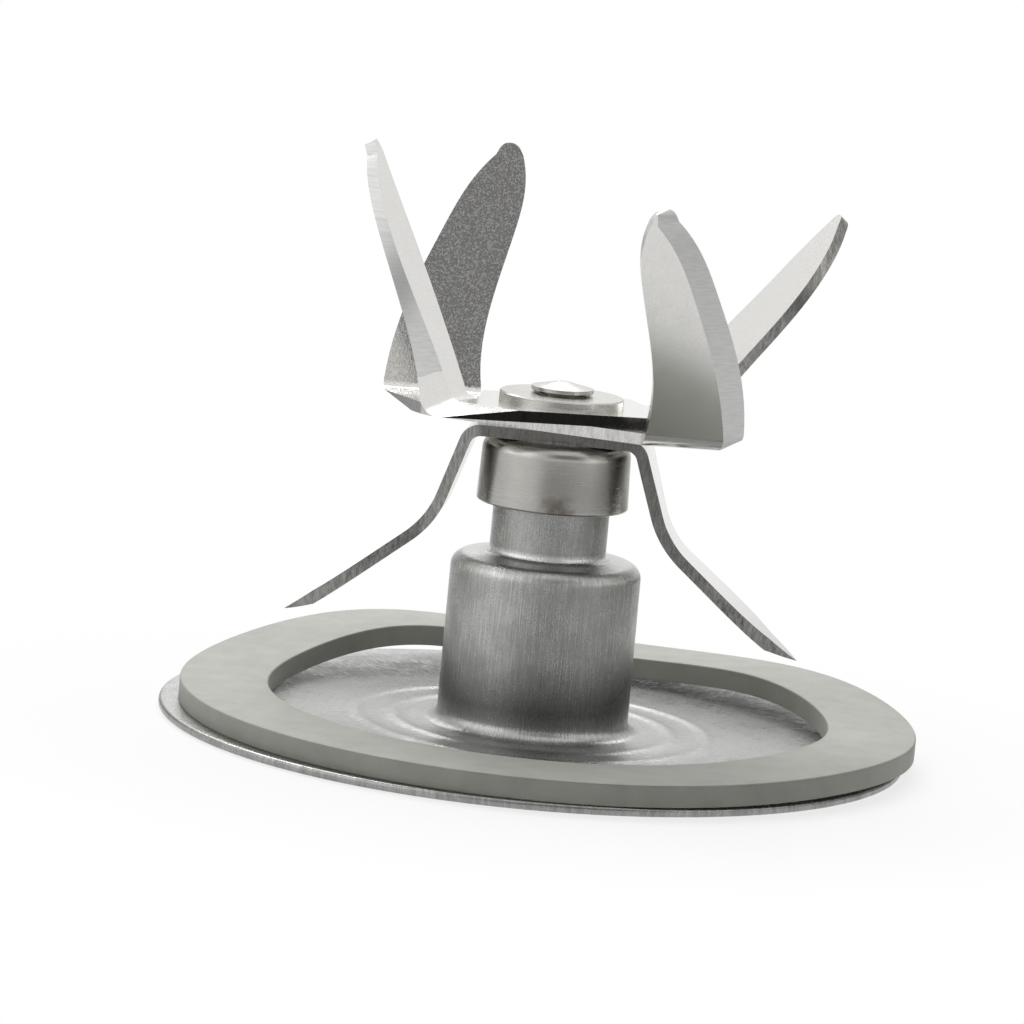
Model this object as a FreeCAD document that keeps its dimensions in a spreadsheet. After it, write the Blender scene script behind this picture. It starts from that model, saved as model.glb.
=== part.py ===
import FreeCAD, Part
import math
import os
import re
import Sketcher
from FreeCAD import Vector

os.makedirs("parts", exist_ok=True)
doc = FreeCAD.newDocument("blade_assembly")

# Driving sizes in millimetres and degrees
SIZES = {
    # drawn base: flat plate, can, shoulder and neck pressed from one disc
    "shell_sheet": 0.75,
    "plate_radius": 33.0,
    "can_foot_radius": 8.48,
    "can_top_radius": 8.4,
    "can_height": 16.0,
    "foot_round": 1.15,
    "shoulder_round": 1.3,
    "corner_flat": 0.6,
    "shoulder_drop": 0.35,
    "neck_radius": 5.14,
    "neck_round": 0.55,
    "neck_top": 21.6,
    "bead_outer_radius": 15.9,
    "bead_inner_radius": 12.1,
    "bead_rise": 0.35,
    "bead_slope": 0.7,
    # flat rubber ring that lies on the plate
    "gasket_outer_radius": 32.6,
    "gasket_width": 7.8,
    "gasket_height": 1.9,
    "gasket_shift": 1.3,
    # spindle and its bearings
    "journal_radius": 3.0,
    "running_gap": 0.025,
    "press_gap": 0.02,
    "face_gap": 0.05,
    "bushing_flange_radius": 6.5,
    "bushing_flange_height": 1.5,
    "felt_height": 1.5,
    "lower_bushing_height": 2.4,
    "clip_height": 0.7,
    "clip_radius": 4.6,
    "clip_opening": 2.4,
    "groove_radius": 2.4,
    "collar_radius": 3.95,
    "tail_across": 5.0,
    "tail_bottom": 4.7,
    # rubber seal on the mouth of the neck
    "seal_height": 1.5,
    "seal_skirt": 0.75,
    "seal_radius": 5.55,
    # drawn cap that turns with the blades and covers the neck
    "cap_sheet": 0.6,
    "cap_rim_radius": 6.7,
    "cap_top_radius": 6.5,
    "cap_rim_height": 20.5,
    "cap_round": 1.35,
    # square tenon, washer and peened head that clamp the blades
    "tenon_across": 4.2,
    "tenon_radius": 2.6,
    "tenon_gap": 0.04,
    "washer_radius": 5.48,
    "washer_height": 0.83,
    "washer_break": 0.12,
    "head_radius": 2.75,
    "head_rim_height": 0.62,
    "head_undercut": 0.3,
    "head_peak": 0.5,
    "head_flat_radius": 0.5,
    # blades, listed from the lowest up
    "blade_seat_height": 26.45,
    "blade_sheet": 1.0,
    "bend_radius": 1.2,
    "corner_round": 2.2,
    # lower blade: both arms bent down in a long S
    "lower_turn": -4.0,
    "lower_width": 9.0,
    "arm_reach": 22.8,
    "arm_knee": 7.85,
    "arm_knee_radius": 1.0,
    "arm_steep": 72.0,
    "arm_straight": 5.5,
    "arm_sweep_radius": 8.5,
    "arm_slope": 39.0,
    "arm_half_knee": 3.9,
    "arm_half_sweep": 2.9,
    "arm_half_slope": 2.7,
    "arm_half_nose": 1.7,
    "arm_nose": 2.6,
    # middle blade: both wings bent up on a skewed line, leaning out by these angles from upright
    "middle_turn": 9.0,
    "middle_bend": 9.33,
    "middle_front_lean": 29.0,
    "middle_back_lean": 21.0,
    "middle_length": 23.9,
    "middle_runout": 7.0,
    "middle_corner_out": 11.8,
    "middle_corner_side": 1.2,
    # upper blade: the left wing skewed one way, the right wing the other
    "upper_left_turn": 67.0,
    "upper_left_bend": 7.0,
    "upper_left_lean": 28.0,
    "upper_left_length": 24.5,
    "upper_left_runout": 6.5,
    "upper_right_turn": 115.0,
    "upper_right_bend": 9.2,
    "upper_right_lean": 33.0,
    "upper_right_length": 22.5,
    "upper_right_runout": 0.0,
    "upper_half_width": 5.95,
    "upper_strip_turn": 18.0,
    "upper_strip_left": 5.4,
    "upper_strip_right": 8.2,
}

# Each wing outline: offsets along the bend line at five places, as shares of the way up.
# "back" is the plain edge, "edge" the ground one, and "grind" the bevel width.
PLACES = {"base": 0.0, "low": 0.31, "half": 0.64, "high": 0.8, "tip": 0.95}
WINGS = {
    "middle": {
        "back": (5.9, 5.4, 3.35, 2.6, 2.85),
        "edge": (14.65, 13.0, 9.8, 7.95, 5.3),
        "grind": (1.9, 2.2, 2.1, 2.05, 1.9),
    },
    "upper_left": {
        "back": (4.9, 4.15, 3.9, 3.9, 3.8),
        "edge": (12.4, 9.6, 8.4, 7.4, 5.1),
        "grind": (4.2, 1.4, 0.25, 0.15, 0.15),
    },
    "upper_right": {
        "back": (-8.1, -9.4, -11.0, -10.8, -9.5),
        "edge": (1.8, -0.2, -3.3, -4.95, -6.8),
        "grind": (1.8, 1.8, 1.6, 1.2, 0.8),
    },
}
WING_SIDES = ("back", "edge", "grind")


def make_sheet():
    """Write every driving size to a named cell."""
    table = doc.addObject("Spreadsheet::Sheet", "Sizes")
    names = dict(SIZES)
    for wing, sides in WINGS.items():
        for side in WING_SIDES:
            for place, value in zip(PLACES, sides[side]):
                names[f"{wing}_{side}_{place}"] = value
    for row, (alias, value) in enumerate(names.items(), start=1):
        table.set(f"A{row}", alias.replace("_", " "))
        table.set(f"B{row}", str(value))
        table.setAlias(f"B{row}", alias)
    doc.recompute()
    return table


sheet = make_sheet()


def size(alias):
    return float(sheet.get(alias))


def bound(text):
    """Turn a plain formula of cell names into one that points at the sheet."""
    return re.sub(r"[a-z]+(?:_[a-z]+)*", lambda word: "Sizes." + word.group(0), text)


def origin_plane(body, role):
    return next(plane for plane in body.Origin.OriginFeatures if plane.Role == role)


def new_sketch(body, name, role):
    sketch = body.newObject("Sketcher::SketchObject", name)
    sketch.AttachmentSupport = (origin_plane(body, role), [""])
    sketch.MapMode = "FlatFace"
    return sketch


def draw_outline(sketch, corners):
    """Closed outline of straight lines; each corner is bound to two formulas.

    The lines start as a regular polygon off to one side, and the formulas pull them into place.
    """
    count = len(corners)
    start_radius = size("cap_sheet") * 10
    start_centre = Vector(size("plate_radius"), size("plate_radius"), 0)
    for number in range(count):
        turn = 2 * math.pi * number / count
        after = 2 * math.pi * (number + 1) / count
        start = start_centre + Vector(math.cos(turn), math.sin(turn), 0) * start_radius
        end = start_centre + Vector(math.cos(after), math.sin(after), 0) * start_radius
        sketch.addGeometry(Part.LineSegment(start, end), False)
    for number in range(count):
        sketch.addConstraint(Sketcher.Constraint("Coincident", number, 2, (number + 1) % count, 1))
    for number, (name, across, up) in enumerate(corners):
        for kind, formula in (("DistanceX", across), ("DistanceY", up)):
            index = sketch.addConstraint(Sketcher.Constraint(kind, -1, 1, number, 1, start_centre.x))
            label = f"{name}_{kind[-1].lower()}"
            sketch.renameConstraint(index, label)
            sketch.setExpression("Constraints." + label, bound(formula))


def break_edges(body, sketch, corners, names, amount):
    """Break the circles that named corners of a turned outline sweep."""
    order = [corner[0] for corner in corners]
    base = body.Tip
    picked = []
    for name in names:
        point = sketch.Geometry[order.index(name)].StartPoint
        for number, edge in enumerate(base.Shape.Edges, start=1):
            curve = edge.Curve
            if not isinstance(curve, Part.Circle):
                continue
            same_radius = abs(curve.Radius - abs(point.x)) < 1e-4
            if same_radius and abs(curve.Center.z - point.y) < 1e-4:
                picked.append(f"Edge{number}")
    feature = body.newObject("PartDesign::Chamfer", f"{body.Name}_{names[0]}_break")
    feature.Base = (base, picked)
    feature.setExpression("Size", bound(amount))
    body.Tip = feature
    doc.recompute()


def turned(label, corners, broken=()):
    """A piece of revolution about the spindle line, from its half section."""
    body = doc.addObject("PartDesign::Body", label)
    body.Label = label
    sketch = new_sketch(body, label + "_section", "XZ_Plane")
    draw_outline(sketch, corners)
    revolution = body.newObject("PartDesign::Revolution", label + "_turned")
    revolution.Profile = sketch
    revolution.ReferenceAxis = (sketch, ["V_Axis"])
    revolution.Angle = 360
    doc.recompute()
    for names, amount in broken:
        break_edges(body, sketch, corners, names, amount)
    return body


def square_corners(side):
    """Corners of a square centred on the spindle line, from the formula of half its width."""
    back = f"0 - ({side})"
    return [("a", side, side), ("b", back, side), ("c", back, back), ("d", side, back)]


def square_cut(body, name, half_across, clear_radius, bottom, top):
    """Mill a turned stretch down to a square, from bottom to top."""
    sketch = new_sketch(body, name + "_flats", "XY_Plane")
    draw_outline(sketch, square_corners(half_across))
    wide = size("plate_radius")
    ring = sketch.addGeometry(Part.Circle(Vector(0, 0, 0), Vector(0, 0, 1), wide), False)
    sketch.addConstraint(Sketcher.Constraint("Coincident", ring, 3, -1, 1))
    index = sketch.addConstraint(Sketcher.Constraint("Radius", ring, wide))
    sketch.renameConstraint(index, "clear")
    sketch.setExpression("Constraints.clear", bound(clear_radius))
    sketch.setExpression("AttachmentOffset.Base.z", bound(bottom))
    doc.recompute()
    before = body.Tip.Shape.Volume
    pocket = body.newObject("PartDesign::Pocket", name)
    pocket.Profile = sketch
    pocket.Reversed = True
    pocket.setExpression("Length", bound(f"({top}) - ({bottom})"))
    doc.recompute()
    if not pocket.Shape.Volume < before:
        raise RuntimeError(name + " cut nothing")
    return pocket


def square_hole(body, name):
    """Square hole with rounded corners that fits over the tenon, right through."""
    sketch = new_sketch(body, name + "_outline", "XY_Plane")
    draw_outline(sketch, square_corners("(tenon_across / 2 + tenon_gap)"))
    doc.recompute()
    before = body.Tip.Shape.Volume
    pocket = body.newObject("PartDesign::Pocket", name)
    pocket.Profile = sketch
    pocket.Reversed = True
    pocket.Type = "ThroughAll"
    doc.recompute()
    if not pocket.Shape.Volume < before:
        raise RuntimeError(name + " cut nothing")
    return pocket


# Heights and radii that more than one piece shares
CAN_BORE = "(can_top_radius - shell_sheet)"
NECK_BORE = "(neck_radius - shell_sheet)"
CEILING = "(can_height - shell_sheet)"
SHOULDER_SLOPE = f"shoulder_drop / ({CAN_BORE} - {NECK_BORE})"
FLANGE_RIM = f"({CEILING} - {SHOULDER_SLOPE} * (bushing_flange_radius - {NECK_BORE}))"
FLANGE_BOTTOM = f"({CEILING} - shoulder_drop - bushing_flange_height)"
FELT_BOTTOM = f"({FLANGE_BOTTOM} - felt_height)"
BUSH_BOTTOM = f"({FELT_BOTTOM} - lower_bushing_height)"
CLIP_TOP = f"({BUSH_BOTTOM} - face_gap)"
CLIP_BOTTOM = f"({CLIP_TOP} - clip_height)"
BUSHING_MOUTH = "(neck_top - face_gap)"
COLLAR_BOTTOM = f"({BUSHING_MOUTH} + face_gap)"
COLLAR_TOP = "(blade_seat_height - cap_sheet)"
BLADES_TOP = "(blade_seat_height + 3 * blade_sheet)"
HEAD_BOTTOM = f"({BLADES_TOP} + washer_height)"


def soft_corner(name, across, up, rounding, across_sign, up_sign):
    """A rounded corner as one flat, which takes up a part of the rounding on both sides.

    The signs say which way the section runs off from the corner, level and upright.
    """
    flat = f"corner_flat * {rounding}"
    return [(name + "_level", f"({across}) {across_sign} {flat}", up),
            (name + "_upright", across, f"({up}) {up_sign} {flat}")]


def base_shell():
    """Plate, can and neck drawn from one disc; the underside follows the top."""
    rise = "(shell_sheet + bead_rise)"
    shoulder_rim = "can_height - shoulder_drop"
    shoulder = soft_corner("shoulder", "can_top_radius", shoulder_rim, "shoulder_round", "-", "-")
    corners = [
        ("rim_under", "plate_radius", "0"),
        ("rim_over", "plate_radius", "shell_sheet"),
        ("bead_out", "bead_outer_radius + bead_slope / 2", "shell_sheet"),
        ("bead_out_top", "bead_outer_radius - bead_slope / 2", rise),
        ("bead_in_top", "bead_inner_radius + bead_slope / 2", rise),
        ("bead_in", "bead_inner_radius - bead_slope / 2", "shell_sheet"),
        *soft_corner("foot", "can_foot_radius", "shell_sheet", "foot_round", "+", "+"),
        *reversed(shoulder),
        ("neck_root", "neck_radius", "can_height"),
        ("mouth_out", "neck_radius", "neck_top"),
        ("mouth_in", NECK_BORE, "neck_top"),
        ("inner_neck_root", NECK_BORE, "can_height - shell_sheet"),
        ("inner_shoulder", CAN_BORE, "can_height - shoulder_drop - shell_sheet"),
        ("inner_foot", "can_foot_radius - shell_sheet", "0"),
        ("under_bead_in", "bead_inner_radius - bead_slope / 2", "0"),
        ("under_bead_in_top", "bead_inner_radius + bead_slope / 2", "bead_rise"),
        ("under_bead_out_top", "bead_outer_radius - bead_slope / 2", "bead_rise"),
        ("under_bead_out", "bead_outer_radius + bead_slope / 2", "0"),
    ]
    return turned("base_shell", corners, [(["neck_root"], "neck_round")])


def sealing_gasket():
    """Flat rubber ring that lies on the plate, a little off centre."""
    under = "shell_sheet"
    over = "(shell_sheet + gasket_height)"
    inner = "(gasket_outer_radius - gasket_width)"
    corners = [
        ("in_under", inner, under),
        ("out_under", "gasket_outer_radius", under),
        ("out_over", "gasket_outer_radius", over),
        ("in_over", inner, over),
    ]
    ring = turned("sealing_gasket", corners)
    ring.setExpression("Placement.Base.x", bound("gasket_shift"))
    return ring


def upper_bushing():
    """Sintered bronze bearing pressed up into the neck, with a flange under the shoulder."""
    bore = "(journal_radius + running_gap)"
    outer = f"({NECK_BORE} - press_gap)"
    corners = [
        ("bore_under", bore, FLANGE_BOTTOM),
        ("flange_under", "bushing_flange_radius", FLANGE_BOTTOM),
        ("flange_over", "bushing_flange_radius", FLANGE_RIM),
        ("root", outer, CEILING),
        ("mouth_out", outer, BUSHING_MOUTH),
        ("mouth_in", bore, BUSHING_MOUTH),
    ]
    return turned("upper_bushing", corners)


def plain_ring(label, bore, outer, under, over):
    """A ring of rectangular section."""
    corners = [
        ("bore_under", bore, under),
        ("outer_under", outer, under),
        ("outer_over", outer, over),
        ("bore_over", bore, over),
    ]
    return turned(label, corners)


def lower_bearing():
    """Felt ring full of oil, and the lower bushing pressed in below it."""
    bore = "(journal_radius + running_gap)"
    fit = f"({CAN_BORE} - press_gap)"
    plain_ring("oil_felt", "(journal_radius + face_gap)", fit, FELT_BOTTOM, FLANGE_BOTTOM)
    plain_ring("lower_bushing", bore, fit, BUSH_BOTTOM, FELT_BOTTOM)


def shaft_seal():
    """Rubber ring stretched over the mouth of the neck, its lip close to the collar."""
    neck_fit = "(neck_radius + press_gap)"
    lip = "(collar_radius + 2 * face_gap)"
    corners = [
        ("skirt_in", neck_fit, "(neck_top - seal_skirt)"),
        ("skirt_out", "seal_radius", "(neck_top - seal_skirt)"),
        ("top_out", "seal_radius", "(neck_top + seal_height)"),
        ("lip_top", lip, "(neck_top + seal_height)"),
        ("lip_under", lip, "neck_top"),
        ("seat_out", neck_fit, "neck_top"),
    ]
    return turned("shaft_seal", corners)


def spindle():
    """Turned spindle: square drive tail, clip groove, journal, collar, tenon and peened head."""
    groove_top = f"({CLIP_TOP} + face_gap)"
    groove_bottom = CLIP_BOTTOM
    corners = [
        ("tail_axis", "0", "tail_bottom"),
        ("tail", "journal_radius", "tail_bottom"),
        ("groove_under_out", "journal_radius", groove_bottom),
        ("groove_under", "groove_radius", groove_bottom),
        ("groove_over", "groove_radius", groove_top),
        ("groove_over_out", "journal_radius", groove_top),
        ("journal_top", "journal_radius", COLLAR_BOTTOM),
        ("collar_under", "collar_radius", COLLAR_BOTTOM),
        ("collar_over", "collar_radius", COLLAR_TOP),
        ("tenon_root", "tenon_radius", COLLAR_TOP),
        ("tenon_top", "tenon_radius", HEAD_BOTTOM),
        ("head_under", "(head_radius - head_undercut)", HEAD_BOTTOM),
        ("head_rim_low", "head_radius", f"({HEAD_BOTTOM} + head_undercut)"),
        ("head_rim", "head_radius", f"({HEAD_BOTTOM} + head_rim_height)"),
        ("head_peak", "head_flat_radius", f"({HEAD_BOTTOM} + head_rim_height + head_peak)"),
        ("head_axis", "0", f"({HEAD_BOTTOM} + head_rim_height + head_peak)"),
    ]
    body = turned("spindle", corners)
    square_cut(body, "drive_tail", "tail_across / 2", "journal_radius + 1", "tail_bottom", groove_bottom)
    square_cut(body, "blade_tenon", "tenon_across / 2", "collar_radius", COLLAR_TOP, HEAD_BOTTOM)
    return body


def retaining_ring():
    """Spring clip in the spindle groove, open on one side."""
    body = plain_ring("retaining_ring", "(groove_radius + running_gap)", "clip_radius", CLIP_BOTTOM, CLIP_TOP)
    sketch = new_sketch(body, "clip_mouth", "XY_Plane")
    corners = [
        ("near_low", "0", "0 - clip_opening / 2"),
        ("far_low", "clip_radius + 1", "0 - clip_opening / 2"),
        ("far_high", "clip_radius + 1", "clip_opening / 2"),
        ("near_high", "0", "clip_opening / 2"),
    ]
    draw_outline(sketch, corners)
    doc.recompute()
    before = body.Tip.Shape.Volume
    pocket = body.newObject("PartDesign::Pocket", "clip_gap")
    pocket.Profile = sketch
    pocket.Reversed = True
    pocket.Type = "ThroughAll"
    doc.recompute()
    if not pocket.Shape.Volume < before:
        raise RuntimeError("the clip stayed closed")
    return body


def slinger_cap():
    """Drawn cap over the neck and the seal; its top is clamped under the blades."""
    inner_top = "(cap_top_radius - cap_sheet)"
    corners = [
        ("axis_under", "0", COLLAR_TOP),
        ("inner_corner", inner_top, COLLAR_TOP),
        ("rim_in", "(cap_rim_radius - cap_sheet)", "cap_rim_height"),
        ("rim_out", "cap_rim_radius", "cap_rim_height"),
        *reversed(soft_corner("corner", "cap_top_radius", "blade_seat_height", "cap_round", "-", "-")),
        ("axis_over", "0", "blade_seat_height"),
    ]
    body = turned("slinger_cap", corners, [(["inner_corner"], "(cap_round - cap_sheet) / 2")])
    square_hole(body, "cap_hole")
    return body


def clamp_washer():
    """Punched washer under the peened head."""
    corners = [
        ("axis_under", "0", BLADES_TOP),
        ("out_under", "washer_radius", BLADES_TOP),
        ("out_over", "washer_radius", HEAD_BOTTOM),
        ("axis_over", "0", HEAD_BOTTOM),
    ]
    body = turned("clamp_washer", corners, [(["out_over"], "washer_break")])
    square_hole(body, "washer_hole")
    return body


def tenon_hole(under):
    """Square hole with the tenon's rounded corners, through one blade."""
    half = size("tenon_across") / 2 + size("tenon_gap")
    tall = 3 * size("blade_sheet")
    low = under - size("blade_sheet")
    square = Part.makeBox(2 * half, 2 * half, tall, Vector(-half, -half, low))
    round_bar = Part.makeCylinder(size("tenon_radius") + size("tenon_gap"), tall, Vector(0, 0, low))
    return square.common(round_bar)


def spline(points):
    curve = Part.BSplineCurve()
    curve.interpolate(points)
    return curve.toShape()


def wing_wire(wing, length, start, level, ground):
    """Outline of one face of a wing: x along the bend line, y up the wing, z outward."""
    back = [size(f"{wing}_back_{place}") for place in PLACES]
    edge = [size(f"{wing}_edge_{place}") for place in PLACES]
    if ground:
        grind = [size(f"{wing}_grind_{place}") for place in PLACES]
        edge = [value - width for value, width in zip(edge, grind)]
    heights = [start + share * (length - start) for share in PLACES.values()]
    back_points = [Vector(x, y, level) for x, y in zip(back, heights)]
    edge_points = [Vector(x, y, level) for x, y in zip(edge, heights)]
    crown = Vector((back[-1] + edge[-1]) / 2, length, level)
    base = Part.LineSegment(back_points[0], edge_points[0]).toShape()
    tip = Part.Arc(edge_points[-1], crown, back_points[-1]).toShape()
    return Part.Wire([base, spline(edge_points), tip, spline(list(reversed(back_points)))])


def wing(name, wing_turn, bend_distance, lean, length, under, ground_face):
    """One bent-up wing: rolled bend and tapered, ground plate.

    In its own frame x runs along the bend line, minus y points outward and z is up.
    """
    sheet_height = size("blade_sheet")
    inner_radius = size("bend_radius")
    bend_angle = 90 - lean
    half_turn = math.radians(bend_angle / 2)
    set_back = (inner_radius + sheet_height / 2) * math.tan(half_turn)
    bend_start = bend_distance - set_back
    lean_turn = math.radians(lean)
    bend_turn = math.radians(bend_angle)
    # root section: full thickness at the back, ground to nothing at the cutting edge
    back_base = size(name + "_back_base")
    edge_base = size(name + "_edge_base")
    edge_in = edge_base - size(name + "_grind_base")
    low_edge, high_edge = (edge_in, edge_base) if ground_face == "outer" else (edge_base, edge_in)
    section = [(back_base, 0), (low_edge, 0), (high_edge, sheet_height), (back_base, sheet_height)]
    corners = [Vector(across, -bend_start, under + up) for across, up in section]
    root = Part.Face(Part.makePolygon(corners + [corners[0]]))
    axis_height = under + sheet_height + inner_radius
    rolled = root.revolve(Vector(0, -bend_start, axis_height), Vector(-1, 0, 0), bend_angle)
    # ruled plate between the outlines of its inner and outer face
    wires = [wing_wire(name, length, set_back, 0, ground_face == "inner"),
             wing_wire(name, length, set_back, sheet_height, ground_face == "outer")]
    plate = Part.makeLoft(wires, True, True)
    plate.translate(Vector(0, -set_back, 0))
    up_wing = Vector(0, -math.sin(lean_turn), math.cos(lean_turn))
    outward = Vector(0, -math.cos(lean_turn), -math.sin(lean_turn))
    root_y = -bend_start - inner_radius * math.sin(bend_turn)
    root_z = axis_height - inner_radius * math.cos(bend_turn)
    stand = FreeCAD.Rotation(Vector(1, 0, 0), up_wing, outward, "XYZ")
    plate.transformShape(FreeCAD.Placement(Vector(0, root_y, root_z), stand).toMatrix())
    solid = rolled.fuse(plate)
    solid.rotate(Vector(0, 0, 0), Vector(0, 0, 1), wing_turn)
    return solid, grinding_runout(name, wing_turn, corners, under, ground_face), bend_start


def grinding_runout(name, wing_turn, corners, under, ground_face):
    """What the grinding of a wing's edge takes off the flat beside the bend, where it runs on."""
    reach = size(name + "_runout")
    if reach == 0:
        return []
    ridge_height = under if ground_face == "outer" else under + size("blade_sheet")
    outer_edge = Vector(size(name + "_edge_base"), corners[1].y, ridge_height)
    wedge = Part.Face(Part.makePolygon([outer_edge, corners[1], corners[2], outer_edge]))
    wedge = wedge.extrude(Vector(0, reach, 0))
    wedge.rotate(Vector(0, 0, 0), Vector(0, 0, 1), wing_turn)
    return [wedge]


def bend_point(wing_turn, bend_start, along, under):
    """A point of the line where a wing's bend starts, on the underside of the blade."""
    turn = math.radians(wing_turn)
    x = along * math.cos(turn) + bend_start * math.sin(turn)
    y = along * math.sin(turn) - bend_start * math.cos(turn)
    return Vector(x, y, under)


def blade_plate(points, rounded, under):
    """Flat middle of a blade with its free corners rounded."""
    plate = Part.Face(Part.makePolygon(points + [points[0]])).extrude(Vector(0, 0, size("blade_sheet")))
    upright = []
    for edge in plate.Edges:
        middle = edge.CenterOfMass
        if edge.tangentAt(edge.FirstParameter).getAngle(Vector(0, 0, 1)) % math.pi > 1e-3:
            continue
        if any(abs(middle.x - p.x) < 1e-6 and abs(middle.y - p.y) < 1e-6 for p in rounded):
            upright.append(edge)
    return plate.makeFillet(size("corner_round"), upright)


def add_blade(label, solid):
    feature = doc.addObject("Part::Feature", label)
    feature.Label = label
    feature.Shape = solid
    return feature


def middle_blade():
    """Blade with two equal wings on the same skewed line, the back one bent up a little more."""
    under = size("blade_seat_height") + size("blade_sheet")
    wings = []
    runouts = []
    points = []
    for half_turn, lean in ((0, "middle_front_lean"), (180, "middle_back_lean")):
        turn = size("middle_turn") + half_turn
        solid, runout, bend_start = wing("middle", turn, size("middle_bend"), size(lean),
                                         size("middle_length"), under, "outer")
        wings.append(solid)
        runouts.extend(runout)
        for side in ("back", "edge"):
            points.append(bend_point(turn, bend_start, size(f"middle_{side}_base"), under))
        corner = Vector(size("middle_corner_out"), size("middle_corner_side"), under)
        points.append(corner if half_turn == 0 else Vector(-corner.x, -corner.y, under))
    plate = blade_plate(points, [points[2], points[5]], under)
    solid = plate.cut(runouts).fuse(wings).cut(tenon_hole(under)).removeSplitter()
    return add_blade("middle_blade", solid)


def upper_blade():
    """Blade whose two wings stand on bend lines skewed to opposite sides."""
    under = size("blade_seat_height") + 2 * size("blade_sheet")
    wings = []
    runouts = []
    starts = {}
    for name, half_turn in (("upper_left", 180), ("upper_right", 0)):
        turn = size(name + "_turn") + half_turn
        solid, runout, bend_start = wing(name, turn, size(name + "_bend"), size(name + "_lean"),
                                         size(name + "_length"), under, "inner")
        wings.append(solid)
        runouts.extend(runout)
        starts[name] = [bend_point(turn, bend_start, size(f"{name}_{side}_base"), under)
                        for side in ("back", "edge")]
    strip = math.radians(size("upper_strip_turn"))
    along = Vector(math.cos(strip), math.sin(strip), 0)
    across = Vector(-math.sin(strip), math.cos(strip), 0)
    far_side = across * size("upper_half_width") + Vector(0, 0, under)
    left_back, left_edge = starts["upper_left"]
    right_back, right_edge = starts["upper_right"]
    left_corner = far_side - along * size("upper_strip_left")
    right_corner = far_side + along * size("upper_strip_right")
    points = [left_edge, right_back, right_edge, right_corner, left_corner, left_back]
    plate = blade_plate(points, [right_corner], under)
    solid = plate.cut(runouts).fuse(wings).cut(tenon_hole(under)).removeSplitter()
    return add_blade("upper_blade", solid)


def arm_joints():
    """Where one arm's path changes, at the middle of the sheet, with the way it heads there."""
    steep = math.radians(size("arm_steep"))
    slope = math.radians(size("arm_slope"))
    knee_radius = size("arm_knee_radius") + size("blade_sheet") / 2
    sweep_radius = size("arm_sweep_radius")
    level = size("blade_seat_height") + size("blade_sheet") / 2
    knee_start = Vector(size("arm_knee") - knee_radius, 0, level)
    knee_centre = knee_start - Vector(0, 0, knee_radius)
    side = Vector(math.sin(steep), 0, math.cos(steep))
    knee_end = knee_centre + side * knee_radius
    sweep_start = knee_end + Vector(math.cos(steep), 0, -math.sin(steep)) * size("arm_straight")
    sweep_centre = sweep_start + side * sweep_radius
    sweep_end = sweep_centre - Vector(math.sin(slope), 0, math.cos(slope)) * sweep_radius
    return {"knee_start": knee_start, "knee_centre": knee_centre, "knee_end": knee_end,
            "sweep_start": sweep_start, "sweep_centre": sweep_centre, "sweep_end": sweep_end}


def arm_side(offset):
    """One face of an arm as a chain of edges, offset upward from the middle of the sheet."""
    joints = arm_joints()
    steep = math.radians(size("arm_steep"))
    slope = math.radians(size("arm_slope"))

    def on_knee(angle):
        reach = size("arm_knee_radius") + size("blade_sheet") / 2 + offset
        return joints["knee_centre"] + Vector(math.sin(angle), 0, math.cos(angle)) * reach

    def on_sweep(angle):
        reach = size("arm_sweep_radius") - offset
        return joints["sweep_centre"] - Vector(math.sin(angle), 0, math.cos(angle)) * reach

    run = (size("arm_reach") - on_sweep(slope).x) / math.cos(slope)
    tip = on_sweep(slope) + Vector(math.cos(slope), 0, -math.sin(slope)) * run
    middle = Vector(0, 0, joints["knee_start"].z + offset)
    return [
        Part.LineSegment(middle, on_knee(0)).toShape(),
        Part.Arc(on_knee(0), on_knee(steep / 2), on_knee(steep)).toShape(),
        Part.LineSegment(on_knee(steep), on_sweep(steep)).toShape(),
        Part.Arc(on_sweep(steep), on_sweep((steep + slope) / 2), on_sweep(slope)).toShape(),
        Part.LineSegment(on_sweep(slope), tip).toShape(),
    ]


def arm_outline():
    """Plan shape of an arm: it narrows from the strip to a blunt point."""
    joints = arm_joints()
    sheet_half = size("blade_sheet") / 2
    stations = [
        (joints["knee_start"].x, size("lower_width") / 2),
        (joints["knee_end"].x + sheet_half, size("arm_half_knee")),
        (joints["sweep_start"].x + sheet_half, size("arm_half_sweep")),
        (joints["sweep_end"].x, size("arm_half_slope")),
        (size("arm_reach") - size("arm_nose"), size("arm_half_nose")),
    ]
    leading = [Vector(x, half, 0) for x, half in stations]
    trailing = [Vector(x, -half, 0) for x, half in stations]
    tip = Vector(size("arm_reach"), size("arm_half_nose") / 4, 0)
    edges = []
    for points in (leading, trailing):
        root = Vector(0, points[0].y, 0)
        nose = (points[-1] + tip) / 2 + Vector(0, points[-1].y / 6, 0)
        edges.append(Part.LineSegment(root, points[0]).toShape())
        edges.append(spline(points))
        edges.append(Part.Arc(points[-1], nose, tip).toShape())
    edges.append(Part.LineSegment(Vector(0, -stations[0][1], 0), Vector(0, stations[0][1], 0)).toShape())
    return Part.Face(Part.Wire(Part.sortEdges(edges)[0]))


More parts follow.
